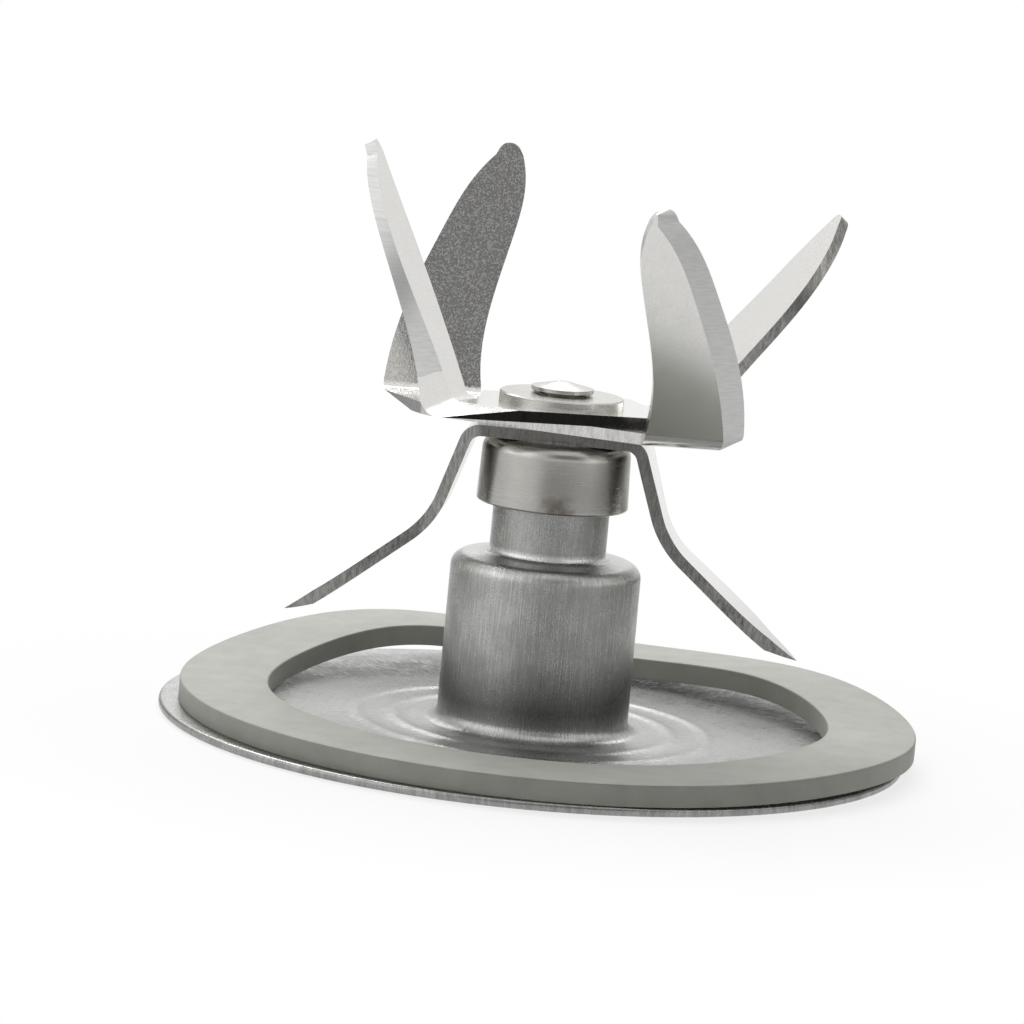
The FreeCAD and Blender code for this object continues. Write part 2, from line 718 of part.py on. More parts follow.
def lower_blade():
    """Blade whose two arms are bent down around the cap and the can, narrowing to their tips."""
    half_sheet = size("blade_sheet") / 2
    upper = arm_side(half_sheet)
    lower = arm_side(-half_sheet)
    ends = [(upper[-1].Vertexes[-1].Point, lower[-1].Vertexes[-1].Point),
            (lower[0].Vertexes[0].Point, upper[0].Vertexes[0].Point)]
    closing = [Part.LineSegment(*pair).toShape() for pair in ends]
    section = Part.Face(Part.Wire(Part.sortEdges(upper + lower + closing)[0]))
    width = 2 * size("lower_width")
    section.translate(Vector(0, -width / 2, 0))
    tall = size("blade_seat_height") + 2 * size("blade_sheet")
    arm = section.extrude(Vector(0, width, 0)).common(arm_outline().extrude(Vector(0, 0, tall)))
    other_arm = arm.copy()
    other_arm.rotate(Vector(0, 0, 0), Vector(0, 0, 1), 180)
    solid = arm.fuse(other_arm)
    solid.rotate(Vector(0, 0, 0), Vector(0, 0, 1), size("lower_turn"))
    solid = solid.cut(tenon_hole(size("blade_seat_height"))).removeSplitter()
    return add_blade("lower_blade", solid)


base_shell()
sealing_gasket()
upper_bushing()
lower_bearing()
shaft_seal()
spindle()
retaining_ring()
slinger_cap()
clamp_washer()
lower_blade()
middle_blade()
upper_blade()
doc.recompute()


def check_and_write():
    """Stop on any failed object; then write one file for each piece."""
    for item in doc.Objects:
        if "Invalid" in item.State or "Error" in item.State:
            raise RuntimeError(item.Name + " failed: " + str(item.State))
    for item in doc.Objects:
        if item.TypeId not in ("PartDesign::Body", "Part::Feature"):
            continue
        shape = item.Shape
        if shape.isNull() or not shape.isValid() or not shape.Solids:
            raise RuntimeError(item.Label + " is not a valid solid")
        shape.exportStep(f"parts/{item.Label}.step")
        box = shape.BoundBox
        print(f"{item.Label}: {len(shape.Solids)} solid, {shape.Volume:.1f} mm3,",
              f"z {box.ZMin:.2f} to {box.ZMax:.2f}")


check_and_write()
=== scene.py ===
import math

import bpy
import bmesh
from mathutils import Matrix, Vector


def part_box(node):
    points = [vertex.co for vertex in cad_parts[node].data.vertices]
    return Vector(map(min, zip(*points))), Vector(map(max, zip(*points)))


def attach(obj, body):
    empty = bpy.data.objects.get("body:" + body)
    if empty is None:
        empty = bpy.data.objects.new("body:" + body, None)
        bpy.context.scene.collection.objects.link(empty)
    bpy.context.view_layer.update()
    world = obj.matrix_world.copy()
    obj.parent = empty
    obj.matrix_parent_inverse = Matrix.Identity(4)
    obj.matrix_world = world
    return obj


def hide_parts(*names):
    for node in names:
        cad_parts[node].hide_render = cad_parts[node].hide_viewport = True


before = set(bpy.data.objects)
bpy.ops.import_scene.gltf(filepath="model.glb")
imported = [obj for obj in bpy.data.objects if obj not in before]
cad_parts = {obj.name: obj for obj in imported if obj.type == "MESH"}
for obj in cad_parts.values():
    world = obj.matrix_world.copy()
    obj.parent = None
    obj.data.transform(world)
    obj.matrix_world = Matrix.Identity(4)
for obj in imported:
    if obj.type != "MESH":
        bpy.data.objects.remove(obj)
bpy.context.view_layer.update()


# Drawn base: one stainless disc pressed into plate, can, shoulder and neck. Its can shows
# fine lines from the drawing die, its shoulder and foot a coarse skin where the sheet stretched.
# It carries the bearings inside and clamps into the jug under the rubber ring.
MM = 0.001
SHEET = 0.75
PLATE_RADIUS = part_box("base_shell")[1].x / MM
NECK_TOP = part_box("base_shell")[1].z / MM
CAN_FOOT_RADIUS = 8.48
CAN_TOP_RADIUS = 8.4
CAN_HEIGHT = 16.0
SHOULDER_FALL = 0.35
NECK_RADIUS = 5.14
BEADS = (12.3, 15.6)
BEAD_HEIGHT = 0.14
BEAD_HALF_WIDTH = 1.0
BEAD_STEPS = 8
ON_AXIS = 1e-6
GRAIN_RADIUS = 8.0
PATTERN_GAIN = 3.0


def rounded(corners, steps=10):
    """Outline with arcs: each corner is (radius from the axis, height, rounding)."""
    outline = []
    count = len(corners)
    for number, (across, up, rounding) in enumerate(corners):
        here = Vector((across, up))
        if rounding == 0:
            outline.append(here)
            continue
        before = Vector(corners[number - 1][:2])
        after = Vector(corners[(number + 1) % count][:2])
        way_in = (before - here).normalized()
        way_out = (after - here).normalized()
        half = way_in.angle(way_out) / 2
        reach = rounding / math.tan(half)
        centre = here + (way_in + way_out).normalized() * (rounding / math.sin(half))
        start = here + way_in * reach - centre
        end = here + way_out * reach - centre
        sweep = start.angle_signed(end)
        for step in range(steps + 1):
            turn = Matrix.Rotation(-sweep * step / steps, 2)
            outline.append(centre + turn @ start)
    return outline


def add_object(name, data):
    """Puts a mesh, a lamp or a camera into the scene."""
    made = bpy.data.objects.new(name, data)
    bpy.context.scene.collection.objects.link(made)
    return made


def shade(piece, crease):
    """Smooth shading, except where two faces meet at more than crease degrees."""
    piece.data.shade_smooth()
    piece.data.set_sharp_from_angle(angle=math.radians(crease))


def turned(name, outline, segments):
    """Closed mesh swept round the spindle line from an outline in millimetres."""
    mesh = bmesh.new()
    rings = []
    for across, up in outline:
        if across < ON_AXIS:
            rings.append([mesh.verts.new((0, 0, up * MM))])
            continue
        ring = []
        for step in range(segments):
            turn = 2 * math.pi * step / segments
            place = (across * MM * math.cos(turn), across * MM * math.sin(turn), up * MM)
            ring.append(mesh.verts.new(place))
        rings.append(ring)
    for number, ring in enumerate(rings):
        other = rings[(number + 1) % len(rings)]
        if len(ring) == 1 and len(other) == 1:
            continue
        for step in range(segments):
            after = (step + 1) % segments
            corners = [ring[step % len(ring)], ring[after % len(ring)],
                       other[after % len(other)], other[step % len(other)]]
            mesh.faces.new(list(dict.fromkeys(corners)))
    bmesh.ops.recalc_face_normals(mesh, faces=mesh.faces)
    piece = add_object(name, bpy.data.meshes.new(name))
    mesh.to_mesh(piece.data)
    mesh.free()
    shade(piece, 40)
    return piece


def node(tree, kind, inputs=None, **settings):
    """One shader node: sockets are linked, plain values are set."""
    made = tree.nodes.new(kind)
    for setting, value in settings.items():
        setattr(made, setting, value)
    for key, value in (inputs or {}).items():
        if isinstance(value, bpy.types.NodeSocket):
            tree.links.new(value, made.inputs[key])
        else:
            made.inputs[key].default_value = value
    return made


def math_node(tree, operation, first, second=0.0):
    return node(tree, "ShaderNodeMath", {0: first, 1: second}, operation=operation).outputs[0]


def vector_node(tree, operation, first, second=(0, 0, 0)):
    """Arithmetic on places; lengths, distances and dot products come out as one value."""
    made = node(tree, "ShaderNodeVectorMath", {0: first, 1: second}, operation=operation)
    gives_value = operation in ("LENGTH", "DISTANCE", "DOT_PRODUCT")
    return made.outputs["Value" if gives_value else "Vector"]


def split_axes(tree, vector):
    return node(tree, "ShaderNodeSeparateXYZ", {0: vector}).outputs


def join_axes(tree, **axes):
    return node(tree, "ShaderNodeCombineXYZ", axes).outputs[0]


def noise(tree, place, scale, detail, roughness=0.5):
    settings = {"Vector": place, "Scale": scale, "Detail": detail, "Roughness": roughness}
    return node(tree, "ShaderNodeTexNoise", settings).outputs["Fac"]


def remap(tree, value, start, end, low=0.0, high=1.0):
    """Takes the range low to high to the range start to end, and stays within it."""
    settings = {"Value": value, "From Min": low, "From Max": high, "To Min": start, "To Max": end}
    return node(tree, "ShaderNodeMapRange", settings).outputs[0]


def mix_colors(tree, share, first, second, blend="MIX"):
    """Two colours mixed or, with the blend MULTIPLY, the first tinted by the second."""
    return node(tree, "ShaderNodeMix", {"Factor": share, 6: first, 7: second},
                data_type="RGBA", blend_type=blend).outputs[2]


def mix_values(tree, share, first, second):
    return node(tree, "ShaderNodeMix", {"Factor": share, 2: first, 3: second}).outputs[0]


def grey_ramp(tree, share, steps):
    """Greys that change along share; each step is (place from 0 to 1, level)."""
    ramp = node(tree, "ShaderNodeValToRGB", {"Fac": share})
    stops = ramp.color_ramp.elements
    while len(stops) < len(steps):
        stops.new(0.5)
    for stop, (place, level) in zip(stops, steps):
        stop.position = place
        stop.color = (level, level, level, 1)
    return ramp.outputs["Color"]


def new_group(name, inputs, outputs):
    """Empty node group with named sockets; returns the group, its input and its output node."""
    group = bpy.data.node_groups.new(name, "ShaderNodeTree")
    for socket, kind, value in inputs:
        made = group.interface.new_socket(socket, in_out="INPUT", socket_type="NodeSocket" + kind)
        if value is not None:
            made.default_value = value
    for socket, kind in outputs:
        group.interface.new_socket(socket, in_out="OUTPUT", socket_type="NodeSocket" + kind)
    return group, group.nodes.new("NodeGroupInput"), group.nodes.new("NodeGroupOutput")


def fill_group(group, out, values):
    """Links each named value to the group's output of that name."""
    for socket, value in values.items():
        group.links.new(value, out.inputs[socket])
    return group


def straight_place(tree):
    """Place on a piece in millimetres."""
    place = node(tree, "ShaderNodeTexCoord").outputs["Object"]
    return node(tree, "ShaderNodeVectorMath", {0: place, "Scale": 1 / MM}, operation="SCALE").outputs[0]


def round_place(tree, straight):
    """Place on a turned piece in millimetres: round it, out from the axis, and up."""
    parts = split_axes(tree, straight)
    radius = vector_node(tree, "LENGTH", join_axes(tree, X=parts["X"], Y=parts["Y"]))
    back = math_node(tree, "MULTIPLY", parts["Y"], -1.0)
    angle = math_node(tree, "ARCTAN2", parts["X"], back)
    around = math_node(tree, "MULTIPLY", angle, GRAIN_RADIUS)
    return join_axes(tree, X=around, Y=radius, Z=parts["Z"])


def make_worked_metal():
    """Grain, mottling and fine pits of worked metal, as colour, roughness and height."""
    group, given, out = new_group("worked_metal", [
        ("Place", "Vector", None), ("Grain Place", "Vector", None), ("Grain", "Float", 0.3),
        ("Mottle Size", "Float", 1.0), ("Mottle", "Float", 0.3), ("Pit Size", "Float", 0.2),
        ("Pits", "Float", 0.3), ("Pale", "Color", (0.7, 0.7, 0.7, 1)),
        ("Dark", "Color", (0.4, 0.4, 0.4, 1)), ("Smooth", "Float", 0.2), ("Rough", "Float", 0.4),
    ], [("Color", "Color"), ("Roughness", "Float"), ("Height", "Float")])
    values = given.outputs
    mottle_scale = math_node(group, "DIVIDE", 1.0, values["Mottle Size"])
    pit_scale = math_node(group, "DIVIDE", 1.0, values["Pit Size"])
    patterns = {
        "Grain": noise(group, values["Grain Place"], 1.0, 4.0, 0.65),
        "Mottle": noise(group, values["Place"], mottle_scale, 5.0, 0.6),
        "Pits": noise(group, values["Place"], pit_scale, 2.0, 0.7),
    }
    level = 0.5
    for depth, pattern in patterns.items():
        swing = math_node(group, "SUBTRACT", pattern, 0.5)
        swing = math_node(group, "MULTIPLY", swing, values[depth])
        swing = math_node(group, "MULTIPLY", swing, PATTERN_GAIN)
        level = math_node(group, "ADD", level, swing)
    level = node(group, "ShaderNodeClamp", {"Value": level}).outputs[0]
    return fill_group(group, out, {
        "Color": mix_colors(group, level, values["Dark"], values["Pale"]),
        "Roughness": remap(group, level, values["Rough"], values["Smooth"]),
        "Height": level,
    })


WORKED_METAL = make_worked_metal()


def new_material(name, metallic):
    """Material with the plain shader; returns the material, its tree and the shader."""
    material = bpy.data.materials.new(name)
    material.use_nodes = True
    shader = material.node_tree.nodes["Principled BSDF"]
    shader.inputs["Metallic"].default_value = metallic
    return material, material.node_tree, shader


def link_surface(tree, shader, color, roughness, height, strength, depth):
    """Gives the shader its colour, roughness and a fine relief of depth millimetres."""
    tree.links.new(color, shader.inputs["Base Color"])
    tree.links.new(roughness, shader.inputs["Roughness"])
    relief = node(tree, "ShaderNodeBump", {"Height": height, "Strength": strength, "Distance": depth * MM})
    tree.links.new(relief.outputs[0], shader.inputs["Normal"])


def metal_material(name, grain_scale, look, bump):
    """Steel or bronze whose grain is drawn out by grain_scale, per millimetre."""
    material, tree, shader = new_material(name, 1.0)
    straight = straight_place(tree)
    stretched = vector_node(tree, "MULTIPLY", round_place(tree, straight), grain_scale)
    places = {"Place": straight, "Grain Place": stretched}
    surface = node(tree, "ShaderNodeGroup", node_tree=WORKED_METAL)
    for socket, place in places.items():
        tree.links.new(place, surface.inputs[socket])
    for socket, value in look.items():
        surface.inputs[socket].default_value = value
    link_surface(tree, shader, surface.outputs["Color"], surface.outputs["Roughness"],
                 surface.outputs["Height"], bump, 0.05)
    return material


DRAWN_STEEL = metal_material("drawn_steel", (9.0, 0.8, 0.25), {
    "Grain": 0.55, "Mottle Size": 3.0, "Mottle": 0.35, "Pit Size": 0.13, "Pits": 0.4,
    "Pale": (0.80, 0.80, 0.78, 1), "Dark": (0.43, 0.43, 0.415, 1), "Smooth": 0.20, "Rough": 0.40,
}, 0.4)
# painted reflection and highlight by height: dark low on the can where it reflects the ring and the plate,
# pale bands at the foot flare, the shoulder and the fillet under the neck: (height, share of the full colour)
PAINTED_REFLECTION_BY_HEIGHT = ((0.0, 0.50), (0.9, 0.52), (1.2, 0.66), (1.7, 0.60), (2.2, 0.40), (3.2, 0.28), (5.5, 0.42),
           (8.0, 0.58), (14.0, 0.55), (15.4, 0.72), (15.9, 0.60), (16.02, 0.55), (16.15, 1.0),
           (16.45, 1.0), (16.8, 0.53))


def paint_reflection_by_height(material, steps):
    """Scales a steel's colour by how high on the piece it lies, as painted reflection and highlight."""
    tree = material.node_tree
    base_color = tree.nodes["Principled BSDF"].inputs["Base Color"]
    color = base_color.links[0].from_socket
    height = split_axes(tree, straight_place(tree))["Z"]
    top = steps[-1][0]
    shares = grey_ramp(tree, math_node(tree, "DIVIDE", height, top),
                       [(level / top, share) for level, share in steps])
    tree.links.new(mix_colors(tree, 1.0, color, shares, "MULTIPLY"), base_color)


# the base's colour carries painted reflections and highlights that change with height
paint_reflection_by_height(DRAWN_STEEL, PAINTED_REFLECTION_BY_HEIGHT)


def bead_points(radius, level, outward):
    """A soft pressed ring seen in section, as a few points of a cosine hump."""
    points = []
    for step in range(BEAD_STEPS + 1):
        share = step / BEAD_STEPS
        offset = BEAD_HALF_WIDTH * (1 - 2 * share) * (1 if outward else -1)
        rise = BEAD_HEIGHT * (1 - math.cos(2 * math.pi * share)) / 2
        points.append((radius + offset, level + rise, 0))
    return points


def base_outline():
    """Section of the base: the outside from rim to neck, then the inside back to the rim."""
    top = [(PLATE_RADIUS, 0.0, 0.3), (PLATE_RADIUS, SHEET, 0.3)]
    for radius in reversed(BEADS):
        top += bead_points(radius, SHEET, True)
    top += [
        (CAN_FOOT_RADIUS, SHEET, 1.15),
        (CAN_TOP_RADIUS, CAN_HEIGHT - SHOULDER_FALL, 1.3),
        (NECK_RADIUS, CAN_HEIGHT, 0.55),
        (NECK_RADIUS, NECK_TOP, 0.2),
    ]
    under = [
        (NECK_RADIUS - SHEET, NECK_TOP, 0.2),
        (NECK_RADIUS - SHEET, CAN_HEIGHT - SHEET, 0),
        (CAN_TOP_RADIUS - SHEET, CAN_HEIGHT - SHEET - SHOULDER_FALL, 0.5),
        (CAN_FOOT_RADIUS - SHEET, 0.0, 1.6),
    ]
    for radius in BEADS:
        under += bead_points(radius, 0.0, False)
    return rounded(top + under)


base_shell = turned("drawn_base", base_outline(), segments=384)
base_shell.data.materials.append(DRAWN_STEEL)
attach(base_shell, "base")
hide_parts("base_shell")


# Flat rubber ring, moulded in grey-green food-grade rubber. It only lies on the plate,
# a little off centre, and springs up from it in two soft waves behind and one on the right.
GASKET_LOW, GASKET_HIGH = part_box("sealing_gasket")
GASKET_SHIFT = (GASKET_LOW.x + GASKET_HIGH.x) / 2
GASKET_OUTER = (GASKET_HIGH.x - GASKET_LOW.x) / 2 / MM
GASKET_WIDTH = 7.8
GASKET_BOTTOM = GASKET_LOW.z / MM
GASKET_TOP = GASKET_HIGH.z / MM
# each wave: where round the ring it stands, in degrees from +X, how high and how wide it is
GASKET_WAVES = ((122, 2.1, 30), (40, 1.2, 30), (-28, 0.5, 32))
DUST_COLOR = (0.8, 0.8, 0.76, 1)


def make_moulded_rubber():
    """Fine matt skin of moulded rubber with soft cloudy patches and a few pale dust specks."""
    group, given, out = new_group("moulded_rubber", [
        ("Place", "Vector", None), ("Pale", "Color", (0.5, 0.5, 0.5, 1)),
        ("Dark", "Color", (0.3, 0.3, 0.3, 1)), ("Dust", "Float", 0.3),
    ], [("Color", "Color"), ("Roughness", "Float"), ("Height", "Float")])
    values = given.outputs
    cloud = noise(group, values["Place"], 0.35, 5.0, 0.6)
    skin = noise(group, values["Place"], 4.0, 3.0, 0.7)
    specks = node(group, "ShaderNodeTexVoronoi", {"Vector": values["Place"], "Scale": 1.1}).outputs["Distance"]
    clouded = remap(group, cloud, 0.0, 1.0, low=0.3, high=0.7)
    dust = remap(group, specks, values["Dust"], 0.0, low=0.03, high=0.07)
    color = mix_colors(group, clouded, values["Dark"], values["Pale"])
    return fill_group(group, out, {
        "Color": mix_colors(group, dust, color, DUST_COLOR),
        "Roughness": remap(group, skin, 0.5, 0.72),
        "Height": skin,
    })


MOULDED_RUBBER = make_moulded_rubber()


def rubber_material(name, pale, dark, dust):
    material, tree, shader = new_material(name, 0.0)
    surface = node(tree, "ShaderNodeGroup", node_tree=MOULDED_RUBBER)
    tree.links.new(straight_place(tree), surface.inputs["Place"])
    for socket, value in (("Pale", pale), ("Dark", dark), ("Dust", dust)):
        surface.inputs[socket].default_value = value
    link_surface(tree, shader, surface.outputs["Color"], surface.outputs["Roughness"],
                 surface.outputs["Height"], 0.25, 0.04)
    return material


GREEN_RUBBER = rubber_material("green_rubber", (0.40, 0.41, 0.365, 1), (0.33, 0.34, 0.30, 1), 0.25)

gasket = turned("rubber_ring", rounded([
    (GASKET_OUTER - GASKET_WIDTH, GASKET_BOTTOM, 0.12),
    (GASKET_OUTER, GASKET_BOTTOM, 0.12),
    (GASKET_OUTER, GASKET_TOP, 0.16),
    (GASKET_OUTER - GASKET_WIDTH, GASKET_TOP, 0.16),
], steps=4), segments=384)
for point in gasket.data.vertices:
    around = math.degrees(math.atan2(point.co.y, point.co.x))
    for stands_at, height, width in GASKET_WAVES:
        point.co.z += height * MM * math.exp(-((around - stands_at) / width) ** 2)
gasket.location.x = GASKET_SHIFT
gasket.data.materials.append(GREEN_RUBBER)
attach(gasket, "base")
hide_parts("sealing_gasket")


# Drawn cap over the neck. It is turned bright, with a brown stain at its rim, clamped under
# the blades, and turns with them, so that it throws liquid off before it reaches the seal.
CAP_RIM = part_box("slinger_cap")[0].z / MM
CAP_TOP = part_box("slinger_cap")[1].z / MM
CAP_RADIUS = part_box("slinger_cap")[1].x / MM
CAP_SHEET = 0.6
CAP_TAPER = 0.2
STAIN_PLACE = (0.6, -7.2, CAP_RIM)
STAIN_REACH = 2.0
STAIN_COLOR = (0.13, 0.10, 0.075, 1)
TURNED_CAP = metal_material("turned_cap", (0.35, 0.5, 7.0), {
    "Grain": 0.25, "Mottle Size": 2.5, "Mottle": 0.15, "Pit Size": 0.2, "Pits": 0.15,
    "Pale": (0.50, 0.485, 0.46, 1), "Dark": (0.34, 0.33, 0.31, 1), "Smooth": 0.23, "Rough": 0.34,
}, 0.15)


def stain(material, place, reach, stain_color):
    """Baked-on splash round one spot of a piece, with a ragged edge."""
    tree = material.node_tree
    base_color = tree.nodes["Principled BSDF"].inputs["Base Color"]
    color = base_color.links[0].from_socket
    straight = straight_place(tree)
    away = vector_node(tree, "DISTANCE", straight, place)
    ragged = math_node(tree, "MULTIPLY", noise(tree, straight, 1.6, 4.0), reach)
    away = math_node(tree, "ADD", away, ragged)
    stained = remap(tree, away, 0.8, 0.0, low=reach * 0.7, high=reach * 1.5)
    tree.links.new(mix_colors(tree, stained, color, stain_color), base_color)


stain(TURNED_CAP, STAIN_PLACE, STAIN_REACH, STAIN_COLOR)

cap = turned("slinger_cap_shell", rounded([
    (0, CAP_TOP, 0),
    (CAP_RADIUS - CAP_TAPER, CAP_TOP, 1.35),
    (CAP_RADIUS, CAP_RIM, 0.22),
    (CAP_RADIUS - CAP_SHEET, CAP_RIM, 0.2),
    (CAP_RADIUS - CAP_SHEET - CAP_TAPER, CAP_TOP - CAP_SHEET, 0.8),
    (0, CAP_TOP - CAP_SHEET, 0),
]), segments=256)
cap.data.materials.append(TURNED_CAP)
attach(cap, "rotor")
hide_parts("slinger_cap")


# Bearings inside the can: two sintered bronze bushings pressed in, with a felt ring full
# of oil between them. They are seen only from below.
SINTERED_BRONZE = metal_material("sintered_bronze", (3.0, 3.0, 3.0), {
    "Grain": 0.3, "Mottle Size": 0.8, "Mottle": 0.4, "Pit Size": 0.12, "Pits": 0.7,
    "Pale": (0.56, 0.42, 0.26, 1), "Dark": (0.30, 0.21, 0.12, 1), "Smooth": 0.35, "Rough": 0.6,
}, 0.5)
OILED_FELT = rubber_material("oiled_felt", (0.30, 0.24, 0.15, 1), (0.16, 0.12, 0.07, 1), 0.0)


def finish_node(name, material):
    """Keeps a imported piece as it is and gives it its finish."""
    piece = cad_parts[name]
    piece.data.materials.clear()
    piece.data.materials.append(material)
    shade(piece, 30)


finish_node("upper_bushing", SINTERED_BRONZE)
finish_node("lower_bushing", SINTERED_BRONZE)
finish_node("oil_felt", OILED_FELT)


# Black rubber seal stretched over the mouth of the neck. It is hidden under the cap, and its
# lip runs close to the collar of the spindle.
BLACK_RUBBER = rubber_material("black_rubber", (0.06, 0.06, 0.058, 1), (0.03, 0.03, 0.03, 1), 0.1)
finish_node("shaft_seal", BLACK_RUBBER)


# Turned steel spindle with its spring clip. The square tail below takes the drive; above,
# the end is peened over the washer into a low pointed head with a rough, hammered rim.
TURNED_STEEL = metal_material("turned_steel", (0.3, 6.0, 6.0), {
    "Grain": 0.35, "Mottle Size": 1.5, "Mottle": 0.2, "Pit Size": 0.15, "Pits": 0.2,
    "Pale": (0.58, 0.57, 0.54, 1), "Dark": (0.34, 0.33, 0.31, 1), "Smooth": 0.2, "Rough": 0.36,
}, 0.2)
finish_node("spindle", TURNED_STEEL)
finish_node("retaining_ring", TURNED_STEEL)


# Three blades stamped from stainless sheet: one bent down beside the cap, two bent up. Their
# faces are lightly brushed and mottled, the cutting edges ground crosswise, and the stamped
# edges left as the press sheared them, streaky and torn. Their colour is darkened as painted
# reflection, and on the upper blade's flat part as painted shadow of the gap beneath it.
WING_FOOT = 33.0
# a face counts as an edge when it leans less than this, as sheared or as ground when it looks
# this far along the bend line, and as inner when it looks back at the axis
EDGE_LEAN = 0.1
SHEARED_TURN = 0.62
GROUND_TURN = 0.3
INNER_LIMIT = -1.0
# directions of the bend lines, in degrees from +X, and how far down each wing tip is rounded
LOWER_BEND = 86
MIDDLE_BEND = 9
MIDDLE_TIPS = (1.14, 1.15)
UPPER_BENDS = (67, 115)
UPPER_TIPS = (1.18, 1.08)
TIP_ROUNDNESS = 0.38
TIP_SLOPE = math.tan(math.radians(19))
TIP_END = 0.1
FOOT_MARGIN = 0.012
EASED_EDGE = 0.05
# darker and paler streaks of the sheared edges; the grey pair is also darkened as painted reflection, the
# near-black pair is painted shadow
PALE_SHEAR = ((0.40, 0.395, 0.38, 1), (0.74, 0.73, 0.71, 1))
# grey: torn streaks, darkened further as painted reflection of the dark surroundings in the edges that face
# the front
SHEAR_WITH_PAINTED_REFLECTION = ((0.08, 0.079, 0.075, 1), (0.36, 0.355, 0.34, 1))
# near-black: painted shadow of the gap under the upper blade, on the edges of its flat part
PAINTED_SHADOW_SHEAR = ((0.01, 0.01, 0.009, 1), (0.04, 0.039, 0.036, 1))
GROUND_STREAKS = ((0.46, 0.46, 0.45, 1), (0.66, 0.66, 0.65, 1))
BLADE_LOOK = {
    "Grain": 0.08, "Mottle Size": 1.6, "Mottle": 0.10, "Pit Size": 0.2,
    "Pale": (0.77, 0.76, 0.74, 1), "Dark": (0.61, 0.605, 0.585, 1), "Smooth": 0.04, "Rough": 0.36,
}


def make_blade_faces():
    """Which of a blade's surfaces is which: sheared across the sheet, ground, or plain."""
    group, given, out = new_group("blade_faces", [
        ("Left Side", "Vector", (0, 1, 0)), ("Right Side", "Vector", (0, 1, 0)),
        ("Left Sheared", "Float", 1.0),
    ], [("Sheared", "Float"), ("Flat Edge", "Float"), ("Ground", "Float"), ("Inner", "Float"),
        ("Along", "Float")])
    straight = straight_place(group)
    spot = split_axes(group, straight)
    on_right = math_node(group, "GREATER_THAN", spot["X"], 0.0)
    side = node(group, "ShaderNodeMix", {"Factor": on_right, 4: given.outputs["Left Side"],
                                         5: given.outputs["Right Side"]}, data_type="VECTOR").outputs[1]
    facing = node(group, "ShaderNodeTexCoord").outputs["Normal"]
    sideways = math_node(group, "ABSOLUTE", vector_node(group, "DOT_PRODUCT", facing, side))
    lean = math_node(group, "ABSOLUTE", split_axes(group, facing)["Z"])
    flat_edge = math_node(group, "MULTIPLY", math_node(group, "LESS_THAN", lean, EDGE_LEAN),
                          math_node(group, "LESS_THAN", spot["Z"], WING_FOOT))
    wing_edge = math_node(group, "MULTIPLY", math_node(group, "GREATER_THAN", sideways, SHEARED_TURN),
                          math_node(group, "MAXIMUM", on_right, given.outputs["Left Sheared"]))
    level = join_axes(group, X=spot["X"], Y=spot["Y"])
    outward = vector_node(group, "DOT_PRODUCT", facing, level)
    return fill_group(group, out, {
        "Sheared": math_node(group, "MAXIMUM", flat_edge, wing_edge),
        "Flat Edge": flat_edge,
        "Ground": math_node(group, "GREATER_THAN", sideways, GROUND_TURN),
        "Inner": math_node(group, "LESS_THAN", outward, INNER_LIMIT),
        "Along": vector_node(group, "DOT_PRODUCT", straight, side),
    })


BLADE_FACES = make_blade_faces()


def blade_material(name, left_side, right_side, flat_shear, wing_shear, left_sheared, mottling):
    """Blade steel; the two directions run along the bend lines of its left and right half."""
    material, tree, shader = new_material(name, 1.0)
    faces_node = node(tree, "ShaderNodeGroup", node_tree=BLADE_FACES)
    faces_node.inputs["Left Side"].default_value = left_side
    faces_node.inputs["Right Side"].default_value = right_side
    faces_node.inputs["Left Sheared"].default_value = left_sheared
    faces = faces_node.outputs
    straight = straight_place(tree)
    height = split_axes(tree, straight)["Z"]
    # brushed lines run up the wings, so they vary quickly along the bend line
    brushed = join_axes(tree, X=math_node(tree, "MULTIPLY", faces["Along"], 7.0),
                        Y=math_node(tree, "MULTIPLY", height, 0.5))
    surface = node(tree, "ShaderNodeGroup", node_tree=WORKED_METAL)
    for socket, value in BLADE_LOOK.items():
        surface.inputs[socket].default_value = value
    # the sheet is mottled on the side that faces the middle, and rolled smooth on the other
    pits = remap(tree, faces["Inner"], 0.15, mottling)
    for socket, value in (("Place", straight), ("Grain Place", brushed), ("Pits", pits)):
        tree.links.new(value, surface.inputs[socket])
    # grinding leaves fine lines across the edge
    lines = join_axes(tree, X=math_node(tree, "MULTIPLY", faces["Along"], 0.8),
                      Y=math_node(tree, "MULTIPLY", height, 6.0))
    grinding = noise(tree, lines, 1.0, 3.0)
    ground_color = mix_colors(tree, grinding, *GROUND_STREAKS)
    ground_rough = remap(tree, grinding, 0.54, 0.44)
    # shearing leaves torn streaks through the thickness
    streaks = vector_node(tree, "MULTIPLY", straight, (1.0, 1.0, 0.25))
    tears = remap(tree, noise(tree, streaks, 3.5, 4.0, 0.75), 0.0, 1.0, low=0.25, high=0.75)
    # the sheared colours carry painted reflection on the grey edges and painted shadow on the upper blade's
    # flat edges
    sheared_color = mix_colors(tree, faces["Flat Edge"], mix_colors(tree, tears, *wing_shear),
                               mix_colors(tree, tears, *flat_shear))
    sheared_rough = remap(tree, tears, 0.34, 0.2)
    color = mix_colors(tree, faces["Ground"], surface.outputs["Color"], ground_color)
    color = mix_colors(tree, faces["Sheared"], color, sheared_color)
    rough = mix_values(tree, faces["Ground"], surface.outputs["Roughness"], ground_rough)
    rough = mix_values(tree, faces["Sheared"], rough, sheared_rough)
    relief = mix_values(tree, faces["Sheared"], surface.outputs["Height"], tears)
    link_surface(tree, shader, color, rough, relief, 0.12, 0.04)
    return material


def direction(degrees):
    """Level direction turned from +X."""
    return (math.cos(math.radians(degrees)), math.sin(math.radians(degrees)), 0)


